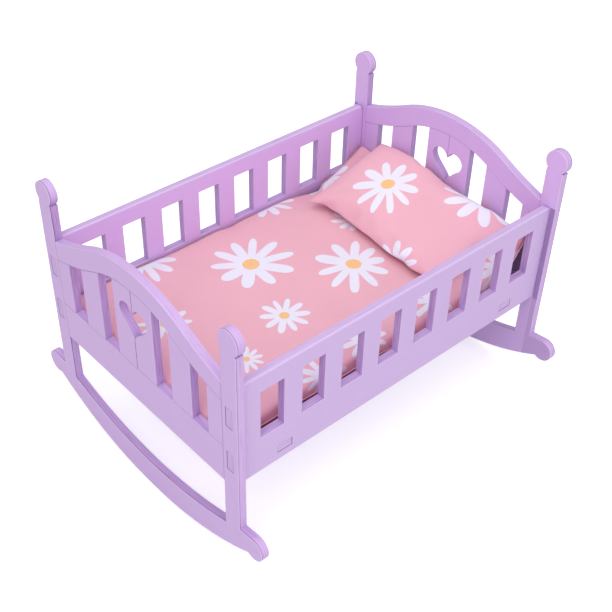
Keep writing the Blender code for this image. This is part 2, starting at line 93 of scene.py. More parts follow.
# The mattress's top: its edge over its underside, its crown, its fall to the far side, the dip
# and the rise of its far edge, how far its near edge sinks and stays off the side, and the height
# of its turned-up end
PAD_EDGE = 0.0228
PAD_CROWN = 0.0042
PAD_FALL = 0.0016
FAR_DIP = 0.0055
FAR_RISE = 0.0028
FAR_DRAW = 0.0060
NEAR_SINK = 0.0060
NEAR_INSET = 0.0105
HEAD_RISE = 0.030

# Painted shade in the folds beside the mattress's near and far edges, and on the pillow's underside
NEAR_SHADE = 0.55
FAR_SHADE = 0.85
PILLOW_SHADE = 0.7

# The pillow: its cells and filling, the cloth to spare in its depth and its width, how far its
# sheets stand apart at first, and the size and the seed of the unevenness that starts its creases
PILLOW_CELL = 0.0042
PILLOW_PRESSURE = 5.0
PILLOW_FRAMES = 26
SPARE_DEPTH = 0.0060
SPARE_WIDTH = 0.0065
SHEET_LIFT = 0.006
CREASE = 0.0006
CREASE_SEED = 1

# The pillow's lie: its front and back edges' heights over the floor, its swell, the bows of its
# front and back edges, the peak of its back edge and how softly it lands on the mattress
FRONT_HEIGHT = 0.1875
BACK_HEIGHT = 0.2155
SWELL = 0.0195
FRONT_BOW = 0.0110
BACK_BOW = 0.0045
PEAK_HEIGHT = 0.0060
PEAK_PLACE = 0.034
PEAK_WIDTH = 0.026
SOFT_LANDING = 0.004

# The photograph's view: its turns, the camera's place, and the lens in pixels of the picture
AZIMUTH = math.radians(42.942)
ELEVATION = math.radians(39.536)
ROLL = math.radians(1.735)
CAMERA_PLACE = (-0.66496, -0.71311, 0.94016)
LENS_PIXELS = 1056.318
PICTURE_PIXELS = 612
SENSOR_WIDTH = 36

# The lamps: name, place, size and power
LAMPS = (
    ("key lamp", (-1.3, -1.0, 2.2), 1.6, 22),
    ("fill lamp", (-0.2, -2.4, 1.2), 1.8, 11),
    ("top lamp", (0.1, 0.1, 2.4), 1.8, 11),
)
LAMP_AIM = Vector((0, 0, 0.15))
FLOOR_GLOW = 0.45
SURROUNDING_LIGHT = 0.62

# The threads' pitch along and across the cloth, the width of the print's edges, and how far along
# the print the pillow's back and the piping are cut
WARP = 0.00055
WEFT = 0.00060
PRINT_EDGE = 0.0005
BACK_CUT = 0.4
PIPING_CUT = 1.2

# The daisy print: middle along and across the bed, petal length and turn, then how the petals'
# places wave round the eye, once and twice, and how their lengths do
BED_DAISIES = (
    (-0.0341, 0.0630, 0.0500, 0.169, 6.4, -6.3, 0.3, 0.4, 0.08, -0.03),
    (0.0583, -0.0167, 0.0470, 0.206, -4.4, 1.5, 2.8, -3.7, -0.11, 0.09),
    (-0.0674, -0.0360, 0.0295, 0.070, 2.0, -2.5, 2.0, 1.0, 0.03, 0.02),
    (-0.1447, -0.0634, 0.0200, 0.300, -3.0, 2.0, 1.0, -2.0, -0.05, 0.04),
    (0.0650, 0.1560, 0.0360, 0.190, 3.0, 2.0, -2.0, 1.0, 0.06, -0.04),
    (-0.1270, 0.1560, 0.0480, 0.150, -12.0, 5.0, 0.0, 0.0, -0.10, 0.06),
    (-0.1755, 0.0410, 0.0305, 0.680, 4.0, -3.0, 1.0, 3.0, 0.03, 0.03),
    (0.1650, 0.1520, 0.0370, 0.300, -3.0, 4.0, -2.0, 1.0, -0.06, 0.05),
    (-0.0950, -0.1370, 0.0290, 0.300, 2.0, 3.0, 2.0, -2.0, 0.05, -0.05),
    (-0.0250, -0.1220, 0.0300, 0.450, -4.0, 2.0, -1.0, 3.0, -0.04, 0.04),
    (0.0840, -0.1260, 0.0300, 0.160, 3.0, -4.0, 2.0, 1.0, -0.40, 0.02),
    (0.1840, -0.1400, 0.0350, 0.120, -2.0, 3.0, 3.0, -1.0, -0.05, 0.06),
)
SHADED_DAISIES = ((0.1215, 0.0485, 0.0275, 0.050, 2.0, -3.0, 1.0, 2.0, 0.10, -0.15),)
PILLOW_DAISIES = (
    (0.1640, 0.0337, 0.0420, 0.250, -5.7, 6.8, 4.7, -1.7, -0.14, 0.06),
    (0.2255, -0.0650, 0.0490, 0.130, 4.0, -2.0, -3.0, 2.0, 0.06, -0.05),
    (0.0885, -0.0530, 0.0320, 0.500, -4.0, 3.0, 2.0, 2.0, -0.06, 0.04),
    (0.5600, 0.0500, 0.0450, 0.200, 5.0, -4.0, 2.0, 1.0, 0.07, -0.03),
    (0.6100, -0.0400, 0.0300, 0.600, -3.0, 2.0, 1.0, -3.0, -0.05, 0.05),
    (0.5400, -0.0850, 0.0380, 0.150, 4.0, 2.0, -2.0, 2.0, 0.05, 0.04),
)
PETALS = 10

# The ends' paint is a little pinker than the sides' and the base's: partly their own paint, partly painted
# light for the pinker light that falls on the ends
END_PAINT = (0.640, 0.440, 0.780, 1)
SIDE_PAINT = (0.620, 0.450, 0.760, 1)
# A lighter, pinker tone for the faces that look in over the bed: painted light, bounced off the pink cloth
INSIDE_BOUNCE_LIGHT = (0.715, 0.478, 0.872, 1)
# A lighter tone for the eased edges: a painted highlight
EDGE_HIGHLIGHT = (0.760, 0.610, 0.880, 1)
CUT_PAINT = (0.500, 0.310, 0.660, 1)
JOINT_PAINT = (0.170, 0.090, 0.250, 1)
PINK = (0.855, 0.455, 0.545, 1)
SHADE_PINK = (0.560, 0.260, 0.350)
PETAL = (0.850, 0.830, 0.960, 1)
DAISY_EYE = (0.960, 0.560, 0.260, 1)

# Facts kept on each face of a board: how far it turns off the board's face, whether it faces
# another board across an opening (which sets the painted shade in reveals), whether it looks
# in over the bed (which sets the painted light there), how dark a joint's line is
FACTS = ("turn", "reveal", "inside", "joint")

# Where a dark line runs round the posts' cut faces, just inside their outer faces
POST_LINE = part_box("head_end_frame")[1].x - 0.0011

# The cradle's boards, and the room that they leave for the mattress and the pillow
BOARDS = frame["record"]["behaviour"]["bodies"]["cradle"]
MATTRESS_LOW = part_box("mattress")[0]
PILLOW_LOW, PILLOW_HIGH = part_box("pillow")
HALF_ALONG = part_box("head_bottom_rail")[0].x - CLOTH_GAP
HALF_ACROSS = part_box("far_side_panel")[0].y - CLOTH_GAP
PILLOW_FRONT = PILLOW_LOW.x - 0.0020
PILLOW_BACK = PILLOW_HIGH.x + 0.0022
PILLOW_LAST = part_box("head_end_frame")[0].x - 0.0018
PILLOW_MIDDLE = (PILLOW_LOW.y + PILLOW_HIGH.y) / 2
PILLOW_HALF = (PILLOW_HIGH.y - PILLOW_LOW.y) / 2 + 0.0018


class Link:
    """A shader value that can be used in sums."""

    def __init__(self, tree, socket):
        self.tree = tree
        self.socket = socket

    def sum(self, operation, *others):
        values = [self.socket] + [other.socket if isinstance(other, Link) else other for other in others]
        return Link(self.tree, math_node(self.tree, operation, values))

    def __add__(self, other):
        return self.sum("ADD", other)

    def __radd__(self, other):
        return self.sum("ADD", other)

    def __sub__(self, other):
        return self.sum("SUBTRACT", other)

    def __rsub__(self, other):
        return self.sum("MULTIPLY", -1) + other

    def __mul__(self, other):
        return self.sum("MULTIPLY", other)

    def __rmul__(self, other):
        return self.sum("MULTIPLY", other)

    def __truediv__(self, other):
        return self.sum("DIVIDE", other)

    def __lt__(self, other):
        return self.sum("LESS_THAN", other)

    def __gt__(self, other):
        return self.sum("GREATER_THAN", other)

    def __abs__(self):
        return self.sum("ABSOLUTE")

    def floor(self):
        return self.sum("FLOOR")

    def sine(self):
        return self.sum("SINE")

    def cosine(self):
        return self.sum("COSINE")

    def root(self):
        return self.sum("MAXIMUM", 0).sum("SQRT")

    def least(self, other):
        return self.sum("MINIMUM", other)

    def most(self, other):
        return self.sum("MAXIMUM", other)

    def step(self, low, high):
        """From 0 at the low value to 1 at the high one."""
        node = self.tree.nodes.new("ShaderNodeMapRange")
        node.interpolation_type = "SMOOTHSTEP"
        node.inputs["From Min"].default_value = low
        node.inputs["From Max"].default_value = high
        self.tree.links.new(self.socket, node.inputs["Value"])
        return Link(self.tree, node.outputs["Result"])


def math_node(tree, operation, values):
    node = tree.nodes.new("ShaderNodeMath")
    node.operation = operation
    for socket, value in zip(node.inputs, values):
        if isinstance(value, bpy.types.NodeSocket):
            tree.links.new(value, socket)
        else:
            socket.default_value = value
    return node.outputs[0]


class Finish:
    """One material and the nodes that are added to it."""

    def __init__(self, name, roughness, **constants):
        self.material = bpy.data.materials.new(name)
        self.material.use_nodes = True
        self.tree = self.material.node_tree
        self.shader = self.tree.nodes["Principled BSDF"]
        self.shader.inputs["Roughness"].default_value = roughness
        for socket, value in constants.items():
            self.shader.inputs[socket.replace("_", " ")].default_value = value

    def node(self, kind, settings=None, values=None, output=0):
        """Add a node: its type, its settings, then the values or links of its sockets."""
        node = self.tree.nodes.new(kind)
        for name, value in (settings or {}).items():
            setattr(node, name, value)
        for name, value in (values or {}).items():
            socket = node.inputs[name]
            if isinstance(value, Link):
                self.tree.links.new(value.socket, socket)
            else:
                socket.default_value = value
        return Link(self.tree, node.outputs[output])

    def mix(self, share, first, second):
        """Blend two colours."""
        settings = {"data_type": "RGBA"}
        return self.node("ShaderNodeMix", settings, {0: share, 6: first, 7: second}, 2)

    def tint(self, colour, amount):
        """Make a colour lighter or darker."""
        grey = self.node("ShaderNodeCombineXYZ", None, {"X": amount, "Y": amount, "Z": amount})
        colour = colour if isinstance(colour, Link) else colour[:3]
        return self.node("ShaderNodeVectorMath", {"operation": "MULTIPLY"}, {0: colour, 1: grey})

    def grain(self, place, scale, stretch=(1, 1, 1), detail=3.0):
        """Noise at a size, stretched along an axis."""
        stretched = self.node("ShaderNodeMapping", None, {"Vector": place, "Scale": stretch})
        values = {"Vector": stretched, "Scale": scale, "Detail": detail}
        return self.node("ShaderNodeTexNoise", None, values)

    def object_place(self):
        return self.node("ShaderNodeTexCoord", output="Object")

    def bump(self, height, distance, strength=1.0, before=None):
        values = {"Height": height, "Distance": distance, "Strength": strength}
        if before:
            values["Normal"] = before
        return self.node("ShaderNodeBump", None, values)

    def feed(self, **links):
        for name, link in links.items():
            self.tree.links.new(link.socket, self.shader.inputs[name.replace("_", " ")])
        return self.material


def paint_finish(name, across, along, tone, posts=False):
    """Lavender paint on a board that is thin along one axis and brushed along another, with painted light
    and shade in its colour.
    """
    paint = Finish(name, 0.5, Specular_IOR_Level=0.42)
    place = paint.object_place()
    turn, reveal, inside, joint = [
        paint.node("ShaderNodeAttribute", {"attribute_name": fact}, output="Fac") for fact in FACTS
    ]
    cut = turn.step(0.85, 0.99)
    rounded = turn.step(0.03, 0.12) * (1 - turn.step(0.72, 0.95)) * (1 - reveal * 0.6)
    brushed = [60.0, 60.0, 60.0]
    brushed[along] = 5.0
    streaks = paint.grain(place, 9.0, brushed, 4.0)
    sawn = [0.25, 0.25, 0.25]
    sawn[across] = 7.0
    layers = paint.grain(place, 130.0, sawn, 2.0)
    dark_layers = 1 - layers.step(0.38, 0.52)
    cloud = paint.grain(place, 22.0, detail=2.0)
    fine = paint.grain(place, 900.0, detail=1.0)
    x, y, z = split(paint, place)
    side_low, side_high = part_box("near_side_panel")
    # Painted light: the faces that look in over the bed, from about the sides' lower edge up, take a
    # lighter, pinker tone for light bounced off the cloth
    colour = paint.mix(inside * (z - side_low.z).step(-0.01, 0.02), tone, INSIDE_BOUNCE_LIGHT)
    colour = paint.tint(colour, 0.94 + streaks * 0.05 + cloud * 0.035)
    sawn_colour = paint.tint(CUT_PAINT, 0.62 + layers * 0.6)
    # Cut faces take the darker sawn paint, and much more of it where another board faces them across an
    # opening: painted shade in the reveals
    colour = paint.mix(cut * (reveal * 0.68 + dark_layers * 0.30 + 0.04), colour, sawn_colour)
    # A painted highlight on the eased edges, broken up by the cloud, weaker in the reveals and on every
    # board but the posts
    edge_highlight = rounded * (0.35 + cloud * 0.6) * (1 if posts else 0.6)
    colour = paint.mix(edge_highlight, colour, EDGE_HIGHLIGHT)
    if posts:
        # Painted shade on a post's inner face where it runs on past the end of a side: darker beside the
        # side, lighter below it
        inner = (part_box("head_end_frame")[0].x + 0.0005 - abs(x)).step(0, 0.0003)
        past = (abs(y) + side_low.y).step(-0.0002, 0.0004) * (side_high.z - z).step(-0.0002, 0.0010)
        shaded = inner * past * (0.35 + (z - side_low.z).step(-0.0060, 0.0010) * 0.55)
        colour = paint.mix(shaded, colour, tuple(part * 0.62 for part in CUT_PAINT[:3]) + (1,))
        # A dark line on the posts' cut faces, just inside their outer faces
        line = cut * (1 - abs(abs(x) - POST_LINE).step(0.0002, 0.0007)) * (0.45 + cloud * 0.5)
        colour = paint.mix(line, colour, JOINT_PAINT)
    colour = paint.mix(joint * (0.75 + cloud * 0.25), colour, JOINT_PAINT)
    coarse = paint.bump(streaks * (1 - cut) * 0.6 + layers * cut * 1.6, 0.00022)
    normal = paint.bump(fine, 0.00003, 0.6, coarse)
    return paint.feed(
        Base_Color=colour,
        Roughness=0.40 + streaks * 0.1 + cut * 0.12,
        Normal=normal,
    )


def split(finish, vector):
    """The three parts of a vector."""
    parts = finish.node("ShaderNodeSeparateXYZ", None, {"Vector": vector})
    return [Link(finish.tree, socket) for socket in parts.socket.node.outputs]


def vector_sum(finish, operation, first, other=None, scale=None):
    """One step of vector arithmetic."""
    values = {0: first}
    if other is not None:
        values[1] = other
    if scale is not None:
        values["Scale"] = scale
    return finish.node("ShaderNodeVectorMath", {"operation": operation}, values)


def daisy_print(finish, place, daisies):
    """The print's petals and eyes, each from 0 to 1."""
    picked = []
    for middle_x, middle_y, length, turn, *waves in daisies:
        away = vector_sum(finish, "SUBTRACT", place, other=(middle_x, middle_y, -length))
        flat = vector_sum(finish, "MULTIPLY", away, other=(1, 1, 0))
        reach = finish.node("ShaderNodeVectorMath", {"operation": "LENGTH"}, {0: flat}, 1)
        near = reach < length * 1.16
        facts = (away, (turn, *(math.radians(part) for part in waves[:2])),
                 (math.radians(waves[2]), math.radians(waves[3]), waves[4]), (waves[5], 0, 0))
        facts = [vector_sum(finish, "SCALE", fact, scale=near) for fact in facts]
        if picked:
            facts = [vector_sum(finish, "ADD", first, other=second) for first, second in zip(picked, facts)]
        picked = facts
    out_x, out_y, length = split(finish, picked[0])
    turn, swing_cosine, swing_sine = split(finish, picked[1])
    swing_twice_cosine, swing_twice_sine, long_once = split(finish, picked[2])
    long_twice = split(finish, picked[3])[0]
    inside = length > 0.001
    length = length.most(0.0001)
    away = (out_x * out_x + out_y * out_y).root()
    angle = finish.node("ShaderNodeMath", {"operation": "ARCTAN2"}, {0: out_y, 1: out_x}) - turn
    swing = angle.cosine() * swing_cosine + angle.sine() * swing_sine
    swing = swing + (angle * 2).cosine() * swing_twice_cosine + (angle * 2).sine() * swing_twice_sine
    count = (angle - swing) * (PETALS / math.tau) + 0.5
    number = count.floor()
    middle = number * (math.tau / PETALS)
    number = number - PETALS * (number / PETALS).floor()
    angle = (count - count.floor() - 0.5) * (math.tau / PETALS)
    reach = 1 + middle.cosine() * long_once + (middle * 2).sine() * long_twice
    reach = length * (reach + 0.03 * (number * 2.4).sine())
    petal_width = length * (0.131 + 0.014 * (number * 4.1 + swing_cosine * 60).sine())
    out = away * angle.cosine() / reach
    aside = abs(away * angle.sine())
    tip = ((out - 0.72) / 0.28).most(0)
    outline = petal_width * (1 - tip * tip).root() * (0.86 + out * 0.22).least(1)
    petal = (outline - aside).step(-PRINT_EDGE, PRINT_EDGE) * inside * (1 - out.step(0.985, 1.005))
    wave = 0.193 + 0.016 * (angle * 3 + turn * 9).sine()
    eye = (length * wave - away).step(-PRINT_EDGE, PRINT_EDGE) * inside
    return petal, eye


def cloth_finish(name, layers, lightness):
    """Pink woven cloth, with any layers of daisies printed on it, and painted shade in its folds."""
    cloth = Finish(name, 0.86, Sheen_Weight=0.12, Sheen_Roughness=0.5, Specular_IOR_Level=0.25)
    place = cloth.node("ShaderNodeUVMap", {"uv_map": "print"})
    along, across, _ = split(cloth, place)
    warp = (along * (math.tau / WARP)).sine()
    weft = (across * (math.tau / WEFT)).sine()
    weave = warp * weft
    slub = cloth.grain(place, 260.0, (1.0, 0.12, 1.0), 2.0)
    soft = cloth.grain(place, 14.0, detail=2.0)
    printed = [daisy_print(cloth, place, layer) for layer in layers]
    colour = PINK
    for paint, marks in zip((PETAL, DAISY_EYE), zip(*printed)):
        share = marks[0]
        for more in marks[1:]:
            share = share.most(more)
        colour = cloth.mix(share, colour, paint)
    colour = cloth.tint(colour, lightness * (0.94 + soft * 0.08 + slub * 0.03 + weave * 0.012))
    # Painted shade: the cloth turns a deeper pink where the attribute is high, beside the mattress's rims,
    # low on its sides and under it, and on the pillow's underside
    fold = cloth.node("ShaderNodeAttribute", {"attribute_name": "fold"}, output="Fac")
    deep = cloth.node("ShaderNodeVectorMath", {"operation": "MULTIPLY"}, {0: colour, 1: SHADE_PINK})
    colour = cloth.mix(fold, colour, deep)
    folds = cloth.bump(cloth.grain(place, 34.0, detail=3.0), 0.0009, 0.35)
    normal = cloth.bump(weave * 0.6 + slub, 0.00012, 0.6, folds)
    return cloth.feed(Base_Color=colour, Roughness=0.80 + slub * 0.1, Normal=normal)


def link(piece):
    bpy.context.scene.collection.objects.link(piece)
    return piece


def board_trees():
    """A search tree for each board."""
    trees = {}
    for node in BOARDS:
        mesh = frame["nodes"][node].data
        points = [vert.co for vert in mesh.vertices]
        trees[node] = BVHTree.FromPolygons(points, [face.vertices for face in mesh.polygons])
    return trees


def touching(point, node, trees):
    """The board that another one meets at a point, if any."""
    for other, tree in trees.items():
        if other != node and tree.find_nearest(point, JOINT_REACH)[0] is not None:
            return other
    return None


def joint_shade(node, other, normal):
    """How dark a joint's line is: a tenon's or a tab's shows most at its shaded sides."""
    if "base_board" in (node, other):
        insert = "base_board"
    elif node.endswith("side_panel") or other.endswith("side_panel"):
        insert = node if node.endswith("side_panel") else other
    else:
        return PLANK_JOINT if node.endswith("plank") and other.endswith("plank") else PLAIN_JOINT
    out = normal if node == insert else -normal
    sideways = out.x if insert == "base_board" else out.y
    return SHADED_JOINT if sideways > 0.3 or out.z < -0.3 else LIT_JOINT


def enclosed(point, normal, trees):
    """How much a surface faces another board across an opening, from 0 to 1."""
    nearest = REVEAL_FAR
    for tree in trees.values():
        distance = tree.ray_cast(point + normal * EDGE_BEVEL, normal, REVEAL_FAR)[3]
        if distance is not None:
            nearest = min(nearest, distance)
    return min(1.0, max(0.0, (REVEAL_FAR - nearest) / (REVEAL_FAR - REVEAL_NEAR)))


def is_sharp(edge):
    return edge.is_manifold and edge.calc_face_angle() > SHARP_ANGLE


def edge_middle(edge):
    return (edge.verts[0].co + edge.verts[1].co) / 2


def room_beside(edge):
    """How far an edge is from the next ones, at its middle and at its ends."""
    middle = edge_middle(edge)
    room = min(near.calc_length() for vert in edge.verts for near in vert.link_edges if near != edge)
    for face in edge.link_faces:
        for near in face.edges:
            if near != edge:
                first, second = [vert.co for vert in near.verts]
                share = intersect_point_line(middle, first, second)[1]
                closest = first.lerp(second, min(1.0, max(0.0, share)))
                room = min(room, (closest - middle).length)
    return room


def board_mesh(node, trees):
    """A board's closed mesh, with how much each of its edges is eased."""
    mesh = frame["nodes"][node].data.copy()
    shape = bmesh.new()
    shape.from_mesh(mesh)
    bmesh.ops.remove_doubles(shape, verts=shape.verts, dist=WELD)
    edges = [edge for edge in shape.edges if edge.is_manifold]
    bmesh.ops.dissolve_limit(shape, angle_limit=FLAT_ANGLE, verts=shape.verts, edges=edges)
    for edge in [edge for edge in shape.edges if is_sharp(edge)]:
        cuts = int(edge.calc_length() / EDGE_STEP) - 1
        if cuts > 0 and touching(edge_middle(edge), node, trees):
            bmesh.ops.subdivide_edges(shape, edges=[edge], cuts=cuts)
    weights = shape.edges.layers.float.new("bevel_weight_edge")
    for edge in shape.edges:
        if is_sharp(edge):
            other = touching(edge_middle(edge), node, trees)
            normal = (edge.link_faces[0].normal + edge.link_faces[1].normal).normalized()
            wanted = 0.1 + 0.75 * joint_shade(node, other, normal) if other else 1.0
            edge[weights] = min(wanted, ROOM_SHARE * room_beside(edge) / EDGE_BEVEL)
    shape.to_mesh(mesh)
    shape.free()
    return mesh


def note_facts(piece, node, across, trees):
    """Keep on each face of a board what its paint needs to know."""
    for fact in FACTS:
        piece.data.attributes.new(fact, "FLOAT", "FACE")
    turn, reveal, inside, joint = [piece.data.attributes[fact].data for fact in FACTS]
    low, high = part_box(node)
    middle = (low[across] + high[across]) / 2
    for face in piece.data.polygons:
        lean = face.normal[across]
        flat = abs(lean) >= FLAT_LEAN
        inward = lean * middle < 0
        turn[face.index].value = 1 - abs(lean)
        if not flat and not (node.endswith("arch_rail") and face.normal.z > 0):
            reveal[face.index].value = enclosed(face.center, face.normal, trees)
        if flat and inward and across < 2:
            inside[face.index].value = 1
        if face.material_index == 1:
            face.material_index = 0
            other = touching(face.center, node, trees)
            if other:
                filled = FILLED_JOINT if across == 0 and inward else 1
                joint[face.index].value = joint_shade(node, other, face.normal) * filled


def dressed_board(node, finish, across, trees):
    """A board in its paint, its edges eased a little."""
    mesh = board_mesh(node, trees)
    mesh.materials.clear()
    mesh.materials.append(finish)
    mesh.materials.append(finish)
    piece = link(bpy.data.objects.new(node + "_painted", mesh))
    ease = piece.modifiers.new("eased edges", "BEVEL")
    ease.width = EDGE_BEVEL
    ease.segments = 2
    ease.limit_method = "WEIGHT"
    ease.material = 1
    ease.use_clamp_overlap = False
    apply_modifiers(piece)
    note_facts(piece, node, across, trees)
    piece.data.materials.pop(index=1)
    shade_smooth(piece, SMOOTH_ANGLE)
    even = piece.modifiers.new("even shading", "WEIGHTED_NORMAL")
    even.keep_sharp = True
    even.weight = 100
    apply_modifiers(piece)
    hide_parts(node)
    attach(piece, "cradle")


def apply_modifiers(piece):
    """Make a piece's modifiers part of its mesh."""
    bpy.ops.object.select_all(action="DESELECT")
    bpy.context.view_layer.objects.active = piece
    piece.select_set(True)
    for modifier in list(piece.modifiers):
        bpy.ops.object.modifier_apply(modifier=modifier.name)
    piece.select_set(False)


def shade_smooth(piece, angle):
    piece.data.shade_smooth()
    piece.data.set_sharp_from_angle(angle=angle)


def paint_boards():
    """Every board of the cradle."""
    posts = paint_finish("paint on the posts", 0, 2, END_PAINT, True)
    uprights = paint_finish("paint on the uprights", 0, 2, END_PAINT)
    rails = paint_finish("paint on the rails", 0, 1, END_PAINT)
    sides = paint_finish("paint on the sides", 1, 0, SIDE_PAINT)
    base = paint_finish("paint on the base", 2, 0, SIDE_PAINT)
    kinds = (
        ("end_frame", posts, 0),
        ("rail", rails, 0),
        ("side_panel", sides, 1),
        ("base_board", base, 2),
    )
    trees = board_trees()
    for node in sorted(BOARDS):
        fitting = [kind[1:] for kind in kinds if node.endswith(kind[0])]
        finish, across = fitting[0] if fitting else (uprights, 0)
        dressed_board(node, finish, across, trees)


def pad_cage(name, size, cell):
    """A box from -1 to 1, divided into cells as a box of the given size would be."""
    bpy.ops.object.select_all(action="DESELECT")
    bpy.ops.mesh.primitive_cube_add(size=2)
    piece = bpy.context.active_object
    piece.name = name
    shape = bmesh.new()
    shape.from_mesh(piece.data)
    for axis in range(3):
        count = max(PAD_FEWEST, round(size[axis] / cell))
        runs = [edge for edge in shape.edges if abs(edge.verts[0].co[axis] - edge.verts[1].co[axis]) > 1]
        bmesh.ops.subdivide_edges(shape, edges=runs, cuts=count - 1, use_grid_fill=True)
    shape.to_mesh(piece.data)
    shape.free()
    return piece


def smooth_step(value, low, high):
    """From 0 at the low value to 1 at the high one."""
    share = min(1.0, max(0.0, (value - low) / (high - low)))
    return share * share * (3 - 2 * share)


def far_dip(x):
    """How far the mattress's far edge sinks before it turns up, from 0 to 1."""
    return smooth_step(x, 0.080, 0.150) ** 1.6 * (1 - smooth_step(x, 0.147, 0.160))


def head_lift(x, v):
    """How far the head end is turned up, from the near edge at -1 to the far edge at 1."""
    start = 0.156 if v > 0 else 0.158
    share = max(0.0, (x - start) / (HALF_ALONG - start))
    corner = HEAD_RISE + (0.0030 if v > 0 else 0.017) * abs(v) ** 6
    return corner * share ** (1.6 if v > 0.6 else 1.4)


def near_inset(x):
    """How far the mattress's near edge stays off the side."""
    return NEAR_INSET - 0.0060 * smooth_step(x, -0.060, 0.060) + 0.0050 * smooth_step(x, 0.185, 0.229)


def pad_top(x, y):
    """Height of the mattress's upper face."""
    u = x / HALF_ALONG
    v = y / HALF_ACROSS
    crown = PAD_CROWN * (1 - abs(u) ** 4) * (1 - abs(v) ** 3)
    edge = MATTRESS_LOW.z + PAD_EDGE - PAD_FALL * v - FAR_DIP * far_dip(x) * max(0.0, v) ** 8
    far = max(0.0, v) ** 6 * (FAR_RISE - 0.0026 * math.exp(-((x / 0.014) ** 2)) - 0.010 * x)
    near = NEAR_SINK * smooth_step(-v, 0.90, 1.0) ** 1.5
    waves = 0.0007 * math.sin(x * 31 + 1.2) * abs(v) ** 3 + 0.0006 * math.sin(x * 57 + v * 3)
    return edge + crown + far - near + waves + head_lift(x, v)


def pad_point(u, v, w):
    """One point of the mattress before it is filled."""
    x = u * HALF_ALONG
    y = v * HALF_ACROSS
    low = MATTRESS_LOW.z + max(0.0, head_lift(x, v))
    high = pad_top(x, y)
    z = low + (high - low) * ((w + 1) / 2) ** 0.75
    y -= max(0.0, v) ** 12 * far_dip(x) * FAR_DRAW
    y += max(0.0, -v) ** 8 * near_inset(x)
    rim_x = smooth_step(abs(u), 0.985, 1)
    rim_y = smooth_step(abs(v), 0.975, 1)
    if w > 0.5:
        tuck = PAD_ROUND * w ** 6 * (0.5 if v > 0.9 else 1)
    else:
        tuck = 0.0040 * smooth_step(0.5 - w, 0, 0.6)
    x -= math.copysign(tuck * rim_x + rim_x * rim_y * 0.003, u)
    y -= math.copysign(tuck * rim_y + rim_x * rim_y * 0.003, v)
    z -= w * PAD_ROUND * (0.1 if v > 0.9 else 0.35) * max(rim_x, rim_y) * abs(w)
    return Vector((x, y, z))


def pad_painted_shade(u, v, w):
    """How deep in shade the mattress's cloth lies, from 0 to 1."""
    side = max(abs(u), abs(v)) > PAD_RIM
    low = 1 - smooth_step(w, -0.3, 0.6) if side else float(w < -0.99)
    return max(NEAR_SHADE * smooth_step(-v, 0.90, 1.0), FAR_SHADE * smooth_step(v, 0.97, 1.0), low)


def set_print_places(piece, place):
    """Give the cloth its flat places for the print."""
    layer = piece.data.uv_layers.new(name="print")
    for loop in piece.data.loops:
        layer.data[loop.index].uv = place[loop.vertex_index]


def fill_cloth(piece, pressure, frames, cap=None, pinned=None):
    """Blow a closed cloth up, and hold each point within a cap's reach of its start."""
    start = [vert.co.copy() for vert in piece.data.vertices]
    cloth = piece.modifiers.new("filling", "CLOTH")
    settings = cloth.settings
    settings.quality = 6
    settings.mass = 0.25
    settings.tension_stiffness = 25
    settings.compression_stiffness = 25
    settings.shear_stiffness = 12
    settings.bending_stiffness = 0.6
    settings.use_pressure = True
    settings.uniform_pressure_force = pressure
    settings.effector_weights.gravity = 0
    if pinned is not None:
        group = piece.vertex_groups.new(name="pinned")
        for index, weight in pinned.items():
            group.add([index], weight, "REPLACE")
        settings.vertex_group_mass = "pinned"
    cloth.point_cache.frame_start = 1
    cloth.point_cache.frame_end = frames
    scene = bpy.context.scene
    for number in range(1, frames + 1):
        scene.frame_set(number)
        bpy.context.view_layer.update()
    apply_modifiers(piece)
    scene.frame_set(1)
    for vert, first in zip(piece.data.vertices, start):
        moved = vert.co - first
        if cap and moved.length > cap:
            vert.co = first + moved * (cap / moved.length)


def make_mattress():
    """The mattress: a thin filled pad with a seam round its lower edge."""
    high = Vector((HALF_ALONG, HALF_ACROSS, MATTRESS_LOW.z + PAD_DEPTH))
    piece = pad_cage("mattress_cloth", high - MATTRESS_LOW, PAD_CELL)
    places = []
    pinned = {}
    seam = []
    fold = piece.data.attributes.new("fold", "FLOAT", "POINT")
    for vert in piece.data.vertices:
        u, v, w = vert.co
        fold.data[vert.index].value = pad_painted_shade(u, v, w)
        vert.co = pad_point(u, v, w)
        side = max(abs(u), abs(v)) > PAD_RIM
        drop = PAD_DEPTH * (1 - w) / 2 if side and w < PAD_RIM else 0
        across = HALF_ACROSS * v + math.copysign(drop if abs(v) > PAD_RIM else 0, v)
        along = HALF_ALONG * u + math.copysign(drop if abs(u) > PAD_RIM else 0, u)
        places.append((along, across))
        if w < -0.99:
            pinned[vert.index] = 1.0
        if side and abs(w - 0.5) < 0.01:
            seam.append((math.atan2(v, u), vert.index))
    set_print_places(piece, places)
    fill_cloth(piece, PAD_PRESSURE, PAD_FRAMES, PAD_CAP, pinned)
    sew_piping(piece, [index for _, index in sorted(seam)])
    layers = (BED_DAISIES, SHADED_DAISIES)
    finish_cloth(piece, "mattress", "bed_mattress", "mattress_cloth", layers, 1.0)


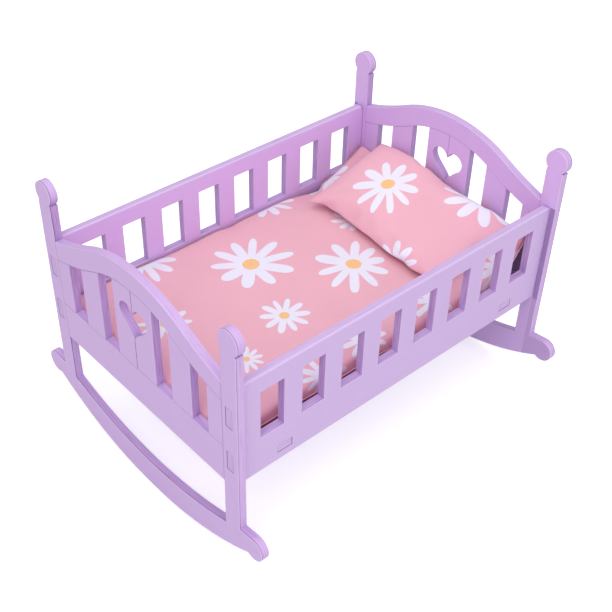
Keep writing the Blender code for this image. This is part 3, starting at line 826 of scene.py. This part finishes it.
def sew_piping(pad, seam):
    """A thin cord of the same cloth along the mattress's seam."""
    bpy.ops.object.select_all(action="DESELECT")
    curve = bpy.data.curves.new("mattress_piping", "CURVE")
    curve.dimensions = "3D"
    curve.bevel_depth = PIPING
    curve.bevel_resolution = 2
    spline = curve.splines.new("POLY")
    spline.points.add(len(seam) - 1)
    for point, index in zip(spline.points, seam):
        point.co = (*pad.data.vertices[index].co, 1)
    spline.use_cyclic_u = True
    cord = link(bpy.data.objects.new("mattress_piping", curve))
    bpy.context.view_layer.objects.active = cord
    cord.select_set(True)
    bpy.ops.object.convert(target="MESH")
    cord.select_set(False)
    layer = cord.data.uv_layers.new(name="print")
    for loop in cord.data.loops:
        layer.data[loop.index].uv = (PIPING_CUT + cord.data.vertices[loop.vertex_index].co.x, 0)
    cord.data.shade_smooth()
    cord.data.materials.clear()
    cord.data.materials.append(cloth_finish("piping cloth", (), 1.0))
    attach(cord, "bed_mattress")


def finish_cloth(piece, node, body, slot, layers, lightness):
    """Smooth a cloth piece, print it and put it in its node's place."""
    smooth = piece.modifiers.new("smooth", "SUBSURF")
    smooth.levels = 1
    smooth.render_levels = 1
    apply_modifiers(piece)
    piece.data.shade_smooth()
    piece.data.materials.clear()
    piece.data.materials.append(cloth_finish(slot.replace("_", " "), layers, lightness))
    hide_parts(node)
    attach(piece, body)


def pillow_sheet(piece, cells_x, cells_y, half_x, half_y):
    """Two flat sheets sewn together round their rim."""
    noise.seed_set(CREASE_SEED)
    shape = bmesh.new()
    rows = {}
    for side in (1, -1):
        for i in range(cells_x + 1):
            for j in range(cells_y + 1):
                rim = i in (0, cells_x) or j in (0, cells_y)
                if rim and side == -1:
                    rows[side, i, j] = rows[1, i, j]
                    continue
                u = 2 * i / cells_x - 1
                v = 2 * j / cells_y - 1
                swell = ((1 - u ** 2) * (1 - v ** 2)) ** 0.5
                point = Vector((u * half_x, v * half_y, side * SHEET_LIFT * swell))
                point += CREASE * noise.noise_vector(point * 60)
                rows[side, i, j] = shape.verts.new(point)
    for side in (1, -1):
        for i in range(cells_x):
            for j in range(cells_y):
                places = ((i, j), (i + 1, j), (i + 1, j + 1), (i, j + 1))
                corners = [rows[(side, *place)] for place in places]
                shape.faces.new(corners if side == 1 else corners[::-1])
    shape.verts.index_update()
    shape.to_mesh(piece.data)
    shape.free()


def make_pillow():
    """The pillow: two sewn sheets filled until they swell, leaned on the turned-up mattress."""
    cut_x = (PILLOW_BACK - PILLOW_FRONT) / 2 + SPARE_DEPTH
    cut_y = PILLOW_HALF + SPARE_WIDTH
    cells_x = round(cut_x * 2 / PILLOW_CELL)
    cells_y = round(cut_y * 2 / PILLOW_CELL)
    piece = link(bpy.data.objects.new("pillow_cloth", bpy.data.meshes.new("pillow_cloth")))
    pillow_sheet(piece, cells_x, cells_y, cut_x, cut_y)
    flat = [vert.co.copy() for vert in piece.data.vertices]
    # Painted shade on the pillow's lower sheet
    fold = piece.data.attributes.new("fold", "FLOAT", "POINT")
    for index, point in enumerate(flat):
        fold.data[index].value = PILLOW_SHADE if point.z < -0.001 else 0.0
    layer = piece.data.uv_layers.new(name="print")
    middle_x = (PILLOW_FRONT + PILLOW_BACK) / 2
    for face in piece.data.polygons:
        back = face.normal.z < 0
        for index in face.loop_indices:
            point = flat[piece.data.loops[index].vertex_index]
            share_x = point.x / cut_x * (PILLOW_BACK - PILLOW_FRONT) / 2
            share_y = point.y / cut_y * PILLOW_HALF
            cut = BACK_CUT if back else 0
            layer.data[index].uv = (middle_x + share_x + cut, PILLOW_MIDDLE + share_y)
    fill_cloth(piece, PILLOW_PRESSURE, PILLOW_FRAMES)
    even = piece.modifiers.new("even", "SMOOTH")
    even.factor = 0.5
    even.iterations = 3
    apply_modifiers(piece)
    settle_pillow(piece)
    finish_cloth(piece, "pillow", "bed_pillow", "pillow_cloth", (PILLOW_DAISIES,), 1.04)


def back_height(y):
    """Height of the pillow's back edge where it leans on the headboard."""
    height = BACK_HEIGHT + 0.0060 * smooth_step(y, -0.020, 0.025) + 0.0050 * smooth_step(y, 0.025, 0.090)
    return height - 0.0035 * smooth_step(abs(y), 0.085, 0.115)


def settle_pillow(piece):
    """Fit the filled pillow to its place: lean it back, and press it on the mattress."""
    points = [vert.co for vert in piece.data.vertices]
    half_x = max(abs(point.x) for point in points)
    half_y = max(abs(point.y) for point in points)
    half_z = max(abs(point.z) for point in points)
    wide_x = (PILLOW_BACK - PILLOW_FRONT) / 2
    middle_x = (PILLOW_FRONT + PILLOW_BACK) / 2
    for vert in piece.data.vertices:
        u = vert.co.x / half_x
        v = vert.co.y / half_y
        bow = 1 - v * v
        x = min(PILLOW_LAST, middle_x + u * wide_x + BACK_BOW * bow * smooth_step(u, 0.2, 1.0))
        x -= FRONT_BOW * bow * (0.58 - 1.3 * v) * smooth_step(-u, 0.0, 1.0)
        y = PILLOW_MIDDLE + v * PILLOW_HALF
        rim = FRONT_HEIGHT + (back_height(y) - FRONT_HEIGHT) * (u + 1) / 2
        rim += PEAK_HEIGHT * math.exp(-(((y - PEAK_PLACE) / PEAK_WIDTH) ** 2)) * smooth_step(u, 0.35, 0.95)
        swell = vert.co.z / half_z * SWELL
        z = rim + (swell if swell > 0 else swell * smooth_step(u, -1.1, -0.6))
        floor = pad_top(x, y) + PAD_CAP
        if z < floor + SOFT_LANDING:
            z = floor + SOFT_LANDING * math.exp((z - floor - SOFT_LANDING) / SOFT_LANDING)
        vert.co = (x, y, z)


def make_stage():
    """A pale floor, soft lamps and a white surrounding."""
    make_floor()
    make_surrounding()
    for name, place, size, power in LAMPS:
        make_lamp(name, place, size, power)


def make_floor():
    """A pale floor that the camera sees as nearly white, with the cradle's shadow on it."""
    bpy.ops.object.select_all(action="DESELECT")
    bpy.ops.mesh.primitive_plane_add(size=30, location=(0, 0, -0.0002))
    floor = bpy.context.active_object
    floor.name = "floor"
    white = Finish("pale floor", 0.9, Base_Color=(0.86, 0.86, 0.87, 1), Specular_IOR_Level=0.1)
    tree = white.tree
    glow = white.node("ShaderNodeEmission", None, {"Color": (1, 1, 1, 1), "Strength": FLOOR_GLOW})
    seen = white.node("ShaderNodeLightPath", output="Is Camera Ray")
    both = white.node("ShaderNodeAddShader")
    tree.links.new(white.shader.outputs[0], both.socket.node.inputs[0])
    tree.links.new(glow.socket, both.socket.node.inputs[1])
    mixed = white.node("ShaderNodeMixShader", None, {0: seen})
    tree.links.new(white.shader.outputs[0], mixed.socket.node.inputs[1])
    tree.links.new(both.socket, mixed.socket.node.inputs[2])
    tree.links.new(mixed.socket, tree.nodes["Material Output"].inputs["Surface"])
    floor.data.materials.append(white.material)


def make_surrounding():
    """A soft even light from all sides, which the camera sees as white."""
    world = bpy.data.worlds.new("studio")
    bpy.context.scene.world = world
    world.use_nodes = True
    nodes = world.node_tree.nodes
    background = nodes["Background"]
    background.inputs["Color"].default_value = (1.0, 1.0, 1.0, 1)
    path = nodes.new("ShaderNodeLightPath")
    links = world.node_tree.links
    strength = nodes.new("ShaderNodeMapRange")
    strength.inputs["To Min"].default_value = SURROUNDING_LIGHT
    strength.inputs["To Max"].default_value = 1.0
    links.new(path.outputs["Is Camera Ray"], strength.inputs["Value"])
    links.new(strength.outputs["Result"], background.inputs["Strength"])


def make_lamp(name, place, size, power):
    """A square soft lamp that faces the bed."""
    light = bpy.data.lights.new(name, "AREA")
    light.size = size
    light.energy = power
    lamp = link(bpy.data.objects.new(name, light))
    lamp.location = place
    lamp.rotation_euler = (LAMP_AIM - lamp.location).to_track_quat("-Z", "Y").to_euler()
    lamp.visible_camera = False


def make_camera():
    """The photograph's view."""
    look = Vector((
        math.sin(AZIMUTH) * math.cos(ELEVATION),
        math.cos(AZIMUTH) * math.cos(ELEVATION),
        -math.sin(ELEVATION),
    ))
    level = Vector((math.cos(AZIMUTH), -math.sin(AZIMUTH), 0))
    upright = level.cross(look)
    right = level * math.cos(ROLL) + upright * math.sin(ROLL)
    up = upright * math.cos(ROLL) - level * math.sin(ROLL)
    lens = bpy.data.cameras.new("camera")
    lens.sensor_width = SENSOR_WIDTH
    lens.lens = LENS_PIXELS / PICTURE_PIXELS * SENSOR_WIDTH
    lens.clip_start = 0.05
    camera = link(bpy.data.objects.new("camera", lens))
    turn = Matrix((right, up, -look)).transposed().to_4x4()
    camera.matrix_world = Matrix.Translation(CAMERA_PLACE) @ turn
    bpy.context.scene.camera = camera


paint_boards()
make_mattress()
make_pillow()
make_stage()
make_camera()
bpy.context.scene.view_settings.view_transform = "Standard"
